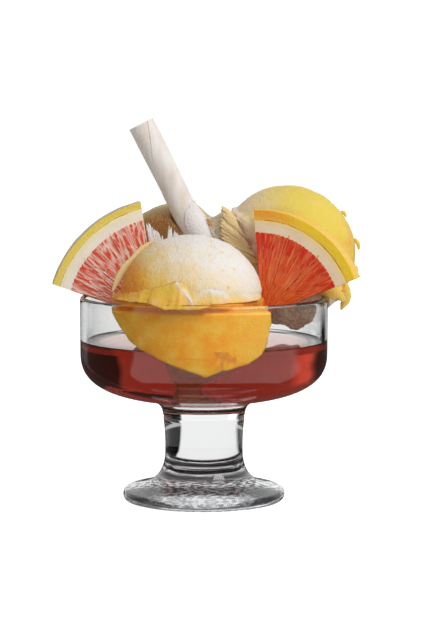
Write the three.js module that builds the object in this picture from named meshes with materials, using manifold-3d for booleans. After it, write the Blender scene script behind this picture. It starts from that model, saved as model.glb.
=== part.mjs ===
// A footed glass ice cream bowl with its serving: syrup, three scoops, two citrus wedges and a rolled wafer.
// Millimetres, +Z up. The origin is the middle of the foot's flat underside, and -Y faces the viewer.
import * as THREE from "three";
import { mergeVertices } from "three/addons/utils/BufferGeometryUtils.js";
import Module from "manifold-3d";

// Glass: heights stack up from the table
const FOOT_HEIGHT = 18;
const STEM_HEIGHT = 18;
const BOWL_HEIGHT = 50.6;
const RIM_RADIUS = 52.5;
const WALL = 2.4;
const FLOOR_THICKNESS = 4;
const SHOULDER_DROP = 22.7;
const UNDERSIDE_DEPTH = 21.8;
const NECK_RADIUS = 26;
const FLARE_PULL = 3;
const FLARE_SAG = 1.5;
const STEM_TOP_RADIUS = 17.5;
const WAIST_RADIUS = 16.55;
const WAIST_BELOW_TOP = 13.5;
const FOOT_RADIUS = 34.5;
const FOOT_EDGE_THICKNESS = 4.2;
const FOOT_EDGE_INSET = 1.3;
const FOOT_NECK_SPREAD = 1.4;
const FOOT_NECK_REACH = 9.5;
const FOOT_TOP_REACH = 11;
const FOOT_TOP_RISE = 2.3;

// Powers of the rounded bowl section: higher is squarer
const SIDE_POWER = 2.9;
const FLOOR_POWER = 2.75;

// Serving
const FIT_GAP = 0.3;
const SYRUP_BELOW_RIM = 19.1;
const LIP = 3;
const LIP_HEIGHT = 3;
const LIP_WAVES = 7;
const LIP_WAVE = 0.8;
const FRONT_SCOOP = {
  x: -5.3, y: -20, aboveRim: -2.8, radius: 29.8, belly: 32.3, depth: 29, lipRise: 4.9, lean: 0, toward: 0,
};
const LEFT_SCOOP = {
  x: -10.3, y: 33, aboveRim: 9.3, radius: 29.1, belly: 30, depth: 32, lipRise: 0, lean: 28, toward: 105,
};
const RIGHT_SCOOP = {
  x: 36.3, y: 25, aboveRim: 16.3, radius: 29.6, belly: 30.6, depth: 31, lipRise: 0, lean: 36, toward: 0,
};

// The front scoop's underside has slumped out to this reach against the glass.
// It is full within the first angle sideways and downwards, and gone past the second.
const SLUMP_REACH = 38.4;
const SLUMP_TOWARD = 264;
const SLUMP_SIDEWAYS = [53, 70];
const SLUMP_DOWNWARDS = [44, 67];

// Citrus wedges: each is cut from a round slice by two straight knife cuts that meet at a corner.
// x and y place the front face, turn is its angle about the upright, angles run anticlockwise from the right.
const SLICE_THICKNESS = 8.5;
const ZEST = 2.2;
const PITH = 4.6;
const MEMBRANE = 0.9;
const LEFT_WEDGE = {
  x: -24, y: 8, turn: -8, sliceRadius: 51.8, cornerSide: 5.3, centreSide: 3.55, centreDrop: -0.85,
  topAngle: 103.2, tipAngle: 162.5, aboveRim: -1.5,
};
const RIGHT_WEDGE = {
  x: 21.8, y: -6, turn: 18, sliceRadius: 45.3, cornerSide: 2.6, centreSide: -1.2, centreDrop: 0.2,
  topAngle: 92.9, tipAngle: 22.6, aboveRim: 1.9,
};
const SEGMENTS_PER_WEDGE = 3;
const SLIT_SPREAD = 2.2;

// Rolled wafer
const WAFER_RADIUS = 6.1;
const WAFER_SHEET = 0.7;
const WAFER_LAYER_GAP = 0.3;
const WAFER_TURNS = 2.25;
const WAFER_LENGTH = 65;
const WAFER_LEAN = 26.6;
const WAFER_COVER = 1.6;
const WAFER_END = { right: 12.3, above: 5 };

// How finely round forms are divided
const GLASS_SIDES = 40;
const SCOOP_SIDES = 32;
const ROUND_STEPS = 10;
const WAFER_SIDES = 16;
const REACH = 400;

// Heights and radii worked out from the sizes above
const stemBottom = FOOT_HEIGHT;
const stemTop = stemBottom + STEM_HEIGHT;
const rimZ = stemTop + BOWL_HEIGHT;
const shoulderZ = rimZ - SHOULDER_DROP;
const innerRadius = RIM_RADIUS - WALL;
const innerDepth = UNDERSIDE_DEPTH - FLOOR_THICKNESS;
const syrupZ = rimZ - SYRUP_BELOW_RIM;
const stemCurve = (STEM_TOP_RADIUS - WAIST_RADIUS) / WAIST_BELOW_TOP ** 2;

const wasm = await Module();
wasm.setup();
const degrees = THREE.MathUtils.degToRad;

// Solids and meshes
function solid(geometry, matrix = new THREE.Matrix4()) {
  const bare = new THREE.BufferGeometry();
  bare.setAttribute("position", geometry.getAttribute("position").clone());
  bare.setIndex(geometry.index);
  bare.applyMatrix4(matrix);
  const merged = mergeVertices(bare, 1e-4);
  const vertProperties = new Float32Array(merged.getAttribute("position").array);
  const triVerts = new Uint32Array(merged.index.array);
  return new wasm.Manifold(new wasm.Mesh({ numProp: 3, vertProperties, triVerts }));
}

function geometryOf(body) {
  const { vertProperties, triVerts } = body.getMesh();
  const geometry = new THREE.BufferGeometry();
  geometry.setAttribute("position", new THREE.BufferAttribute(new Float32Array(vertProperties), 3));
  geometry.setIndex(new THREE.BufferAttribute(new Uint32Array(triVerts), 1));
  geometry.computeVertexNormals();
  return geometry;
}

function piece(name, geometry, look) {
  const mesh = new THREE.Mesh(geometry, new THREE.MeshStandardMaterial(look));
  mesh.name = name;
  return mesh;
}

// Turns a (radius, height) outline about the upright axis
function turned(outline, sides) {
  const geometry = new THREE.LatheGeometry(outline, sides);
  return geometry.rotateX(Math.PI / 2);
}

function steps(count, formula) {
  return Array.from({ length: count + 1 }, (_, index) => formula(index / count));
}

// Glass
// A point on the rounded lower bowl; turn runs from 0 at the wall to a quarter turn at the axis
function bowlRound(radius, drop, turn) {
  const out = radius * Math.cos(turn) ** (2 / SIDE_POWER);
  const down = drop * Math.sin(turn) ** (2 / FLOOR_POWER);
  return new THREE.Vector2(Math.max(out, 0), shoulderZ - down);
}

function bowlOutline() {
  const inside = steps(ROUND_STEPS, (t) => bowlRound(innerRadius, innerDepth, (1 - t) * Math.PI / 2));
  inside[0].x = 0;
  const bead = WALL / 2;
  const rim = steps(6, (t) => new THREE.Vector2(
    innerRadius + bead - bead * Math.cos(t * Math.PI),
    rimZ - bead + bead * Math.sin(t * Math.PI),
  ));
  const neckTurn = Math.acos((NECK_RADIUS / RIM_RADIUS) ** (SIDE_POWER / 2));
  const outside = steps(ROUND_STEPS, (t) => bowlRound(RIM_RADIUS, UNDERSIDE_DEPTH, t * neckTurn));
  const neck = outside[ROUND_STEPS];
  const pull = new THREE.Vector2(STEM_TOP_RADIUS + FLARE_PULL, neck.y - FLARE_SAG);
  const flare = new THREE.QuadraticBezierCurve(neck, pull, new THREE.Vector2(STEM_TOP_RADIUS, stemTop));
  return [...inside, ...rim, ...outside, ...flare.getPoints(6).slice(1), new THREE.Vector2(0, stemTop)];
}

function stemRadius(z) {
  return WAIST_RADIUS + stemCurve * (z - (stemTop - WAIST_BELOW_TOP)) ** 2;
}

function stemOutline() {
  const side = steps(8, (t) => {
    const z = stemTop - t * STEM_HEIGHT;
    return new THREE.Vector2(stemRadius(z), z);
  });
  return [new THREE.Vector2(0, stemTop), ...side, new THREE.Vector2(0, stemBottom)];
}

function footOutline() {
  const top = new THREE.Vector2(stemRadius(stemBottom), stemBottom);
  const edge = new THREE.Vector2(FOOT_RADIUS - FOOT_EDGE_INSET, FOOT_EDGE_THICKNESS);
  const sweep = new THREE.CubicBezierCurve(
    top,
    new THREE.Vector2(top.x + FOOT_NECK_SPREAD, top.y - FOOT_NECK_REACH),
    new THREE.Vector2(edge.x - FOOT_TOP_REACH, edge.y + FOOT_TOP_RISE),
    edge,
  );
  const half = FOOT_EDGE_THICKNESS / 2;
  const rounded = steps(6, (t) => new THREE.Vector2(
    edge.x + FOOT_EDGE_INSET * Math.sin(t * Math.PI),
    half + half * Math.cos(t * Math.PI),
  ));
  return [new THREE.Vector2(0, stemBottom), ...sweep.getPoints(12), ...rounded.slice(1), new THREE.Vector2(0, 0)];
}

// Share of the slump at a point measured from the scoop's middle
function slumpShare(point) {
  const toward = degrees(SLUMP_TOWARD);
  const level = Math.hypot(point.x, point.y);
  const facing = (point.x * Math.cos(toward) + point.y * Math.sin(toward)) / level;
  const below = -point.z / point.length();
  const [sideFull, sideEnd] = SLUMP_SIDEWAYS.map((angle) => Math.cos(degrees(angle)));
  const [downFull, downEnd] = SLUMP_DOWNWARDS.map((angle) => Math.sin(degrees(angle)));
  const sideways = THREE.MathUtils.smoothstep(facing, sideEnd, sideFull);
  return sideways * (1 - THREE.MathUtils.smoothstep(below, downFull, downEnd));
}

// Scoops: a smooth dome, a wavy lip pressed out round the scoop's edge, and a fuller belly below
function scoopForm(scoop, grow) {
  const radius = scoop.radius + grow;
  const lipTop = scoop.lipRise + LIP_HEIGHT / 2;
  const lipBottom = scoop.lipRise - LIP_HEIGHT / 2;
  const domeTurn = Math.acos(lipTop / radius);
  const dome = steps(ROUND_STEPS, (t) => new THREE.Vector2(
    radius * Math.sin(t * domeTurn),
    radius * Math.cos(t * domeTurn),
  ));
  const lip = [new THREE.Vector2(radius + LIP, lipTop), new THREE.Vector2(radius + LIP, lipBottom)];
  const belly = steps(ROUND_STEPS, (t) => new THREE.Vector2(
    (scoop.belly + grow) * Math.cos(t * Math.PI / 2),
    lipBottom - (scoop.depth + grow + lipBottom) * Math.sin(t * Math.PI / 2),
  ));
  belly[ROUND_STEPS].x = 0;
  const geometry = turned([...dome, ...lip, ...belly].reverse(), SCOOP_SIDES);
  const position = geometry.getAttribute("position");
  const point = new THREE.Vector3();
  for (let index = 0; index < position.count; index++) {
    point.fromBufferAttribute(position, index);
    const out = Math.hypot(point.x, point.y);
    if (out > radius + LIP / 2) {
      const wave = 1 + (LIP_WAVE / out) * Math.sin(LIP_WAVES * Math.atan2(point.y, point.x));
      position.setXY(index, point.x * wave, point.y * wave);
    }
    if (scoop === FRONT_SCOOP && point.z < 0 && out > 0) {
      const reach = THREE.MathUtils.lerp(point.length(), SLUMP_REACH + grow, slumpShare(point));
      position.setXYZ(index, ...point.setLength(reach).toArray());
    }
  }
  const lean = degrees(scoop.lean);
  const toward = degrees(scoop.toward);
  const axis = new THREE.Vector3(-Math.sin(toward), Math.cos(toward), 0);
  const place = new THREE.Matrix4().makeRotationAxis(axis, lean);
  place.setPosition(scoop.x, scoop.y, rimZ + scoop.aboveRim);
  return solid(geometry, place);
}

// Upright planes keep each piece in its own share of the plan, so that it lifts out past its neighbours.
// A plane holds a point (x, y) and the level direction that leads out of the piece.
function planeBetween(scoop, other) {
  const away = new THREE.Vector2(other.x - scoop.x, other.y - scoop.y);
  const span = away.length();
  const reach = (span ** 2 + scoop.radius ** 2 - other.radius ** 2) / (2 * span);
  away.normalize();
  return { out: away, at: away.clone().multiplyScalar(reach - FIT_GAP / 2).add(new THREE.Vector2(scoop.x, scoop.y)) };
}

function beyond(plane, grow) {
  const box = new THREE.BoxGeometry(REACH, REACH, REACH);
  const place = new THREE.Matrix4().makeRotationZ(Math.atan2(plane.out.y, plane.out.x));
  const middle = plane.out.clone().multiplyScalar(REACH / 2 + grow).add(plane.at);
  place.setPosition(middle.x, middle.y, 0);
  return solid(box, place);
}

// Room for the rim in a piece that is set over it; spread widens the room inwards
function rimSlot(spread) {
  const inside = innerRadius - FIT_GAP - spread;
  const outside = RIM_RADIUS + FIT_GAP;
  const top = rimZ + FIT_GAP;
  const outline = [[inside, 0], [outside, 0], [outside, top], [inside, top], [inside, 0]];
  return solid(turned(outline.map(([r, z]) => new THREE.Vector2(r, z)), GLASS_SIDES));
}

// Citrus wedges
function wedgeAcross(wedge) {
  const turn = degrees(wedge.turn);
  return new THREE.Vector2(Math.cos(turn), -Math.sin(turn));
}

function wedgeBack(wedge) {
  const turn = degrees(wedge.turn);
  return new THREE.Vector2(Math.sin(turn), Math.cos(turn));
}

// Plan position of a point of the wedge, side mm along its face and deep mm behind it
function wedgePlan(wedge, side, deep) {
  const across = wedgeAcross(wedge).multiplyScalar(side);
  const back = wedgeBack(wedge).multiplyScalar(deep);
  return new THREE.Vector2(wedge.x, wedge.y).add(across).add(back);
}

function rimPoint(wedge, angle) {
  const turn = degrees(angle);
  return new THREE.Vector2(Math.cos(turn), Math.sin(turn)).multiplyScalar(wedge.sliceRadius);
}

// The corner where the two knife cuts meet, measured from the slice's centre
function wedgeCorner(wedge) {
  return new THREE.Vector2(-wedge.centreSide, wedge.centreDrop);
}

// Directions from the corner along the top cut and the tip cut
function cutAngle(wedge, angle) {
  return rimPoint(wedge, angle).sub(wedgeCorner(wedge)).angle();
}

// Where a straight line from a start point meets the circle of that radius about the slice's centre
function meetCircle(start, angle, radius) {
  const way = new THREE.Vector2(Math.cos(angle), Math.sin(angle));
  const along = start.dot(way);
  const run = -along + Math.sqrt(along ** 2 + radius ** 2 - start.lengthSq());
  return way.multiplyScalar(run).add(start);
}

// The tip cut meets the rim where the wedge first reaches it; that settles the wedge's height
function cornerHeight(wedge) {
  const leftward = wedge.tipAngle > 90;
  const slope = Math.abs(Math.tan(cutAngle(wedge, wedge.tipAngle)));
  const crossings = [0, SLICE_THICKNESS].map((deep) => {
    const start = wedgePlan(wedge, 0, deep);
    const way = wedgeAcross(wedge).multiplyScalar(leftward ? -1 : 1);
    const run = meetCircle(start, way.angle(), innerRadius).sub(start).length();
    return run + (leftward ? wedge.cornerSide : -wedge.cornerSide);
  });
  return rimZ + wedge.aboveRim - slope * Math.min(...crossings);
}

// Area between two circles about the slice's centre, ended by the knife cuts
function bandShape(wedge, outer, inner) {
  const corner = wedgeCorner(wedge);
  const cuts = [wedge.topAngle, wedge.tipAngle].map((angle) => cutAngle(wedge, angle));
  const clockwise = wedge.tipAngle < wedge.topAngle;
  const [start, end] = cuts.map((angle) => meetCircle(corner, angle, outer));
  const [startIn, endIn] = cuts.map((angle) => meetCircle(corner, angle, inner));
  const shape = new THREE.Shape();
  shape.moveTo(start.x, start.y);
  shape.absarc(0, 0, outer, start.angle(), end.angle(), clockwise);
  shape.lineTo(endIn.x, endIn.y);
  shape.absarc(0, 0, inner, endIn.angle(), startIn.angle(), !clockwise);
  return shape;
}

// Pie shape from a corner between two directions out to a circle about the slice's centre
function pieShape(corner, from, to, radius) {
  const start = meetCircle(corner, from, radius);
  const end = meetCircle(corner, to, radius);
  const shape = new THREE.Shape();
  shape.moveTo(corner.x, corner.y);
  shape.lineTo(start.x, start.y);
  shape.absarc(0, 0, radius, start.angle(), end.angle(), to < from);
  return shape;
}

function sliced(shape) {
  const geometry = new THREE.ExtrudeGeometry(shape, {
    depth: SLICE_THICKNESS, bevelEnabled: false, curveSegments: ROUND_STEPS, steps: 1,
  });
  return geometry.translate(0, 0, -SLICE_THICKNESS);
}

// White pith under the zest, with the membranes that part the segments
function pithGeometry(wedge, outer, fleshRadius, webs) {
  const corner = wedgeCorner(wedge);
  const [top, tip] = [wedge.topAngle, wedge.tipAngle].map((angle) => cutAngle(wedge, angle));
  let body = solid(sliced(bandShape(wedge, outer, fleshRadius)));
  for (const angle of webs) {
    const length = meetCircle(corner, angle, fleshRadius + PITH / 2).sub(corner).length();
    const web = new THREE.Shape();
    web.moveTo(0, -MEMBRANE / 2);
    web.lineTo(length, -MEMBRANE / 2);
    web.lineTo(length, MEMBRANE / 2);
    web.lineTo(0, MEMBRANE / 2);
    const place = new THREE.Matrix4().makeRotationZ(angle).setPosition(corner.x, corner.y, 0);
    body = body.add(solid(sliced(web), place));
  }
  return geometryOf(body.intersect(solid(sliced(pieShape(corner, top, tip, outer)))));
}

// One juicy segment, kept clear of the membranes beside it; the outer sides are the open knife cuts
function segmentGeometry(wedge, from, to, webAtFrom, webAtTo, fleshRadius) {
  const spread = Math.abs(to - from);
  const clear = MEMBRANE / 2 + FIT_GAP;
  const alongTo = webAtFrom ? clear / Math.sin(spread) : 0;
  const alongFrom = webAtTo ? clear / Math.sin(spread) : 0;
  const corner = wedgeCorner(wedge)
    .add(new THREE.Vector2(Math.cos(to), Math.sin(to)).multiplyScalar(alongTo))
    .add(new THREE.Vector2(Math.cos(from), Math.sin(from)).multiplyScalar(alongFrom));
  return sliced(pieShape(corner, from, to, fleshRadius - FIT_GAP));
}

// Stands the slice upright, turned, with its centre in place
function wedgePlace(wedge) {
  const centre = wedgePlan(wedge, wedge.cornerSide + wedge.centreSide, 0);
  const place = new THREE.Matrix4().makeRotationZ(-degrees(wedge.turn));
  place.multiply(new THREE.Matrix4().makeRotationX(Math.PI / 2));
  return place.setPosition(centre.x, centre.y, cornerHeight(wedge) - wedge.centreDrop);
}

function wedgeGroup(name, wedge, fleshColour) {
  const zestInner = wedge.sliceRadius - ZEST;
  const pithOuter = zestInner - FIT_GAP;
  const fleshRadius = pithOuter - PITH;
  const top = cutAngle(wedge, wedge.topAngle);
  const tip = cutAngle(wedge, wedge.tipAngle);
  const share = (tip - top) / SEGMENTS_PER_WEDGE;
  const webs = steps(SEGMENTS_PER_WEDGE, (t) => top + t * (tip - top)).slice(1, -1);
  const place = wedgePlace(wedge);
  const slit = rimSlot(SLIT_SPREAD);
  const set = (geometry) => geometryOf(solid(geometry, place).subtract(slit));
  const group = new THREE.Group();
  const zestLook = { color: 0xe9bb2e, roughness: 0.45, metalness: 0 };
  const pithLook = { color: 0xf4e6d8, roughness: 0.7, metalness: 0 };
  const fleshLook = { color: fleshColour, roughness: 0.25, metalness: 0 };
  group.add(piece(`${name}_zest`, set(sliced(bandShape(wedge, wedge.sliceRadius, zestInner))), zestLook));
  group.add(piece(`${name}_pith`, set(pithGeometry(wedge, pithOuter, fleshRadius, webs)), pithLook));
  for (let index = 0; index < SEGMENTS_PER_WEDGE; index++) {
    const from = top + index * share;
    const hasTopWeb = index > 0;
    const hasTipWeb = index < SEGMENTS_PER_WEDGE - 1;
    const segment = segmentGeometry(wedge, from, from + share, hasTopWeb, hasTipWeb, fleshRadius);
    group.add(piece(`${name}_segment_${index + 1}`, set(segment), fleshLook));
  }
  return group;
}

// Plane that parts a scoop from a wedge, through the wedge's nearest upright edge and facing the scoop squarely.
// Where such a plane would cut the wedge, the plane is the wedge's own near face.
function planeToWedge(scoop, wedge, deep) {
  const sides = [wedge.topAngle, wedge.tipAngle]
    .map((angle) => rimPoint(wedge, angle).x + wedge.centreSide + wedge.cornerSide)
    .concat(wedge.cornerSide);
  const ends = [Math.min(...sides), Math.max(...sides)].map((side) => wedgePlan(wedge, side, deep));
  const middle = new THREE.Vector2(scoop.x, scoop.y);
  ends.sort((a, b) => a.distanceTo(middle) - b.distanceTo(middle));
  const [near, far] = ends;
  let out = near.clone().sub(middle).normalize();
  if (out.dot(far.clone().sub(near)) < 0) {
    out = wedgeBack(wedge).multiplyScalar(deep > 0 ? -1 : 1);
  }
  return { out, at: near.clone().addScaledVector(out, -FIT_GAP) };
}

// Rolled wafer: a sheet wound into a spiral, standing in a socket in the left scoop
const waferPlane = planeBetween(LEFT_SCOOP, FRONT_SCOOP);
const waferLean = degrees(WAFER_LEAN);

function waferEnd() {
  const inward = waferPlane.out.clone().negate();
  const x = LEFT_SCOOP.x + WAFER_END.right;
  const along = (x - waferPlane.at.x) / -inward.y;
  const level = new THREE.Vector2(-inward.y, inward.x).multiplyScalar(along).add(waferPlane.at);
  level.addScaledVector(inward, WAFER_RADIUS + FIT_GAP + WAFER_COVER);
  return new THREE.Vector3(level.x, level.y, rimZ + LEFT_SCOOP.aboveRim + WAFER_END.above);
}

function waferPlace() {
  return new THREE.Matrix4().makeRotationY(-waferLean).setPosition(waferEnd());
}

function waferGeometry() {
  const pitch = WAFER_SHEET + WAFER_LAYER_GAP;
  const sheet = (t, inset) => {
    const turn = t * WAFER_TURNS * 2 * Math.PI;
    const radius = WAFER_RADIUS - inset - pitch * t * WAFER_TURNS;
    return new THREE.Vector2(radius * Math.cos(turn), radius * Math.sin(turn));
  };
  const count = Math.round(WAFER_SIDES * WAFER_TURNS);
  const outer = steps(count, (t) => sheet(t, 0));
  const inner = steps(count, (t) => sheet(t, WAFER_SHEET)).reverse();
  const roll = new THREE.Shape([...outer, ...inner]);
  return new THREE.ExtrudeGeometry(roll, { depth: WAFER_LENGTH, bevelEnabled: false, steps: 1 });
}

function waferSocket() {
  const bore = new THREE.CylinderGeometry(WAFER_RADIUS + FIT_GAP, WAFER_RADIUS + FIT_GAP, REACH, WAFER_SIDES);
  bore.rotateX(Math.PI / 2).translate(0, 0, REACH / 2 - FIT_GAP);
  return solid(bore, waferPlace());
}

// Each scoop cut by its planes, by the room inside the glass and by the rim that it hangs over
const scoopPlanes = new Map([
  [FRONT_SCOOP, [
    planeBetween(FRONT_SCOOP, LEFT_SCOOP),
    planeBetween(FRONT_SCOOP, RIGHT_SCOOP),
    planeToWedge(FRONT_SCOOP, LEFT_WEDGE, 0),
    planeToWedge(FRONT_SCOOP, RIGHT_WEDGE, 0),
  ]],
  [LEFT_SCOOP, [
    planeBetween(LEFT_SCOOP, FRONT_SCOOP),
    planeBetween(LEFT_SCOOP, RIGHT_SCOOP),
    planeToWedge(LEFT_SCOOP, LEFT_WEDGE, SLICE_THICKNESS),
  ]],
  [RIGHT_SCOOP, [
    planeBetween(RIGHT_SCOOP, FRONT_SCOOP),
    planeBetween(RIGHT_SCOOP, LEFT_SCOOP),
    planeToWedge(RIGHT_SCOOP, RIGHT_WEDGE, SLICE_THICKNESS),
  ]],
]);

function scoopSolid(scoop, grow) {
  let body = scoopForm(scoop, grow);
  for (const plane of scoopPlanes.get(scoop)) {
    body = body.subtract(beyond(plane, grow));
  }
  return body.subtract(rimSlot(0));
}

// The bowl's rounded inside less the gap, from the middle of its floor out to the wall
function insideRound() {
  const side = steps(ROUND_STEPS, (t) => (
    bowlRound(innerRadius - FIT_GAP, innerDepth - FIT_GAP, (1 - t) * Math.PI / 2)
  ));
  side[0].x = 0;
  return side;
}

// The front scoop keeps to the room inside the bowl up to the rim, and is free above it
function frontScoopSolid() {
  const top = rimZ + FIT_GAP;
  const free = [[innerRadius - FIT_GAP, top], [REACH, top], [REACH, REACH], [0, REACH]];
  const room = [...insideRound(), ...free.map(([r, z]) => new THREE.Vector2(r, z))];
  return scoopSolid(FRONT_SCOOP, 0).intersect(solid(turned(room, GLASS_SIDES)));
}

function syrupSolid() {
  const side = insideRound();
  const outline = [...side, new THREE.Vector2(innerRadius - FIT_GAP, syrupZ), new THREE.Vector2(0, syrupZ)];
  let body = solid(turned(outline, GLASS_SIDES));
  for (const scoop of scoopPlanes.keys()) {
    body = body.subtract(scoopSolid(scoop, FIT_GAP));
  }
  return body;
}

// The whole serving
const glassLook = { color: 0xf2f6f5, roughness: 0.05, metalness: 0, transparent: true, opacity: 0.35 };
const syrupLook = { color: 0x6e2418, roughness: 0.08, metalness: 0, transparent: true, opacity: 0.85 };
const scoopLook = { color: 0xeec46a, roughness: 0.6, metalness: 0 };
const waferLook = { color: 0xe8dfd2, roughness: 0.8, metalness: 0 };

const iceCreamBowl = new THREE.Group();
iceCreamBowl.add(piece("foot", turned(footOutline().reverse(), GLASS_SIDES), glassLook));
iceCreamBowl.add(piece("stem", turned(stemOutline().reverse(), GLASS_SIDES), glassLook));
iceCreamBowl.add(piece("bowl", turned(bowlOutline().reverse(), GLASS_SIDES), glassLook));
iceCreamBowl.add(piece("syrup", geometryOf(syrupSolid()), syrupLook));
iceCreamBowl.add(piece("front_scoop", geometryOf(frontScoopSolid()), scoopLook));
iceCreamBowl.add(piece("left_scoop", geometryOf(scoopSolid(LEFT_SCOOP, 0).subtract(waferSocket())), scoopLook));
iceCreamBowl.add(piece("right_scoop", geometryOf(scoopSolid(RIGHT_SCOOP, 0)), scoopLook));
const wafer = piece("wafer_roll", waferGeometry(), waferLook);
wafer.applyMatrix4(waferPlace());
iceCreamBowl.add(wafer);
iceCreamBowl.add(wedgeGroup("left_wedge", LEFT_WEDGE, 0xe0634a));
iceCreamBowl.add(wedgeGroup("right_wedge", RIGHT_WEDGE, 0xd8401f));

export default iceCreamBowl;
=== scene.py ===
"""Dresses the packed ice cream bowl: glass, syrup, scoops, citrus wedges and a rolled wafer, on white."""

import bpy
import numpy as np
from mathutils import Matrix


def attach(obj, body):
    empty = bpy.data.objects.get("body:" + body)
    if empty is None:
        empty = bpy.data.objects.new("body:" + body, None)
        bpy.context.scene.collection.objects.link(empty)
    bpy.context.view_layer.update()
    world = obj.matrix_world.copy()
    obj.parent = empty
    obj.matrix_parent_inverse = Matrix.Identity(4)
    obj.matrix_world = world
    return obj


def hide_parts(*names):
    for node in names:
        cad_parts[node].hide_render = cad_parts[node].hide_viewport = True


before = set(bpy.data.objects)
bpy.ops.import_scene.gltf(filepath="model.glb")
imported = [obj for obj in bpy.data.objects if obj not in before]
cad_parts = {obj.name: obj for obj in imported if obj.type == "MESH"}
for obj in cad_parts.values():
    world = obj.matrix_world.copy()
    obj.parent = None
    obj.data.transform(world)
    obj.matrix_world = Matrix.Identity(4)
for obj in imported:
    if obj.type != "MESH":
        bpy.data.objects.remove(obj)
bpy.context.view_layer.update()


# The glass: foot, stem and bowl are pressed from clear glass and joined hot, so the vessel is one clear body.
# Its outside runs from the flat underside up to a rounded rim, and its inside down again to the bowl's floor.
RIM_RADIUS = 52.5
RIM_Z = 86.6
WALL = 2.4
INNER_RADIUS = RIM_RADIUS - WALL
FOOT_FLAT = 33.2
FOOT_BULGE = 1.3
FOOT_EDGE = 4.2
STEM_BOTTOM = 18.0
STEM_TOP = 36.0
STEM_WAIST = 16.55
STEM_WIDENING = 0.95
WAIST_Z = 22.5
NECK_RADIUS = 26.0
SHOULDER_Z = 63.9
OUTER_DROP = 21.8
INNER_DROP = 17.8
SIDE_POWER = 2.9
FLOOR_POWER = 2.75
FLOOR_END = 0.49 * np.pi
UNDER_RINGS = 48
STIPPLE_TOP = 0.7


def spots(*parts):
    """Points from their coordinates, each a number or an array over the grid."""
    return np.stack(np.broadcast_arrays(*parts), axis=-1)


def polar(radius, turn, height):
    """Points at a radius from an upright axis, at an angle round it and at a height."""
    return spots(radius * np.cos(turn), radius * np.sin(turn), height)


def into_scene(name, data):
    """A new object in the scene that holds this mesh, light or camera."""
    thing = bpy.data.objects.new(name, data)
    bpy.context.scene.collection.objects.link(thing)
    return thing


def skin(name, body, material, *forms, marks=(), sharp=180):
    """Closed skins in one mesh, in millimetres.

    Each form is a stack of rings. Quads join a ring to the next one, and a fan to its middle closes each end.
    Channels after x, y and z become point attributes named in marks. Faces are turned to point outwards.
    """
    points, quads, fans = [], [], []
    start = 0
    for form in forms:
        rows, columns = form.shape[:2]
        ring = np.arange(rows * columns).reshape(rows, columns)
        nxt = np.roll(ring, -1, axis=1)
        first = rows * columns
        sides = spots(ring[:-1], nxt[:-1], nxt[1:], ring[1:]).reshape(-1, 4)
        ends = np.concatenate([spots(nxt[0], ring[0], first), spots(ring[-1], nxt[-1], first + 1)])
        middles = [form[0].mean(axis=0)[None], form[-1].mean(axis=0)[None]]
        flat = np.concatenate([form.reshape(first, -1), *middles])
        corners = np.concatenate([sides[:, [0, 1, 2]], sides[:, [0, 2, 3]], ends])
        a, b, c = (flat[corners[:, side], :3] for side in range(3))
        if np.einsum("ij,ij->", a, np.cross(b, c)) < 0:
            sides, ends = sides[:, ::-1], ends[:, ::-1]
        points.append(flat)
        quads.append(sides + start)
        fans.append(ends + start)
        start += len(flat)
    points = np.concatenate(points)
    faces = np.concatenate(quads).tolist() + np.concatenate(fans).tolist()
    mesh = bpy.data.meshes.new(name)
    mesh.from_pydata((points[:, :3] * 0.001).tolist(), [], faces)
    for channel, mark in enumerate(marks):
        layer = mesh.attributes.new(mark, "FLOAT", "POINT")
        layer.data.foreach_set("value", np.ascontiguousarray(points[:, 3 + channel], dtype=np.float32))
    mesh.materials.append(material)
    mesh.shade_smooth()
    if sharp < 180:
        mesh.set_sharp_from_angle(angle=np.radians(sharp))
    piece = into_scene(name, mesh)
    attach(piece, body)
    return piece


def turned(outline, columns):
    """An outline of (radius, height) rows carried round the upright axis."""
    turn = np.linspace(0, 2 * np.pi, columns, endpoint=False)
    return polar(outline[:, 0, None], turn, outline[:, 1, None])


def scatter(cell, seed):
    """A repeatable number from 0 to 1 for each whole-number lattice cell."""
    key = cell @ np.array([73856093, 19349663, 83492791]) + seed * 97531
    key = (key ^ (key >> 13)) * 1274126177 & 0x7FFFFFFF
    key = (key ^ (key >> 16)) * 668265263 & 0x7FFFFFFF
    return (key & 0xFFFF) / 65535


def drift(points, seed):
    """Smooth noise from -1 to 1: lattice numbers blended with an eased weight along each axis."""
    cell = np.floor(points).astype(np.int64)
    part = points - cell
    eased = part * part * (3 - 2 * part)
    total = 0
    for corner in np.ndindex(2, 2, 2):
        weight = np.prod(np.where(corner, eased, 1 - eased), axis=-1)
        total = total + weight * (2 * scatter(cell + np.array(corner), seed) - 1)
    return total


def ease(value, low, high):
    """0 below low, 1 above high, with a smooth S between."""
    t = np.clip((value - low) / (high - low), 0, 1)
    return t * t * (3 - 2 * t)


def bell(value, middle, wide):
    """A bell curve: 1 at the middle, about a third at the distance wide from it."""
    return np.exp(-((value - middle) / wide) ** 2)


def bezier(points, count):
    """A Bezier curve: repeated straight blends between neighbouring points."""
    t = np.linspace(0, 1, count)[:, None]
    rows = [np.asarray(point) * np.ones_like(t) for point in points]
    while len(rows) > 1:
        rows = [a + (b - a) * t for a, b in zip(rows, rows[1:])]
    return rows[0]


def bowl_round(radius, drop, turn):
    """Rounded lower bowl: radius times a power of cos outwards, drop times a power of sin downwards."""
    out = radius * np.cos(turn) ** (2 / SIDE_POWER)
    down = drop * np.sin(turn) ** (2 / FLOOR_POWER)
    return spots(out, SHOULDER_Z - down)


def stem_radius(height):
    """Waisted stem: a parabola, thinnest at the waist."""
    return STEM_WAIST + STEM_WIDENING * ((height - WAIST_Z) / (STEM_TOP - WAIST_Z)) ** 2


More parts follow.
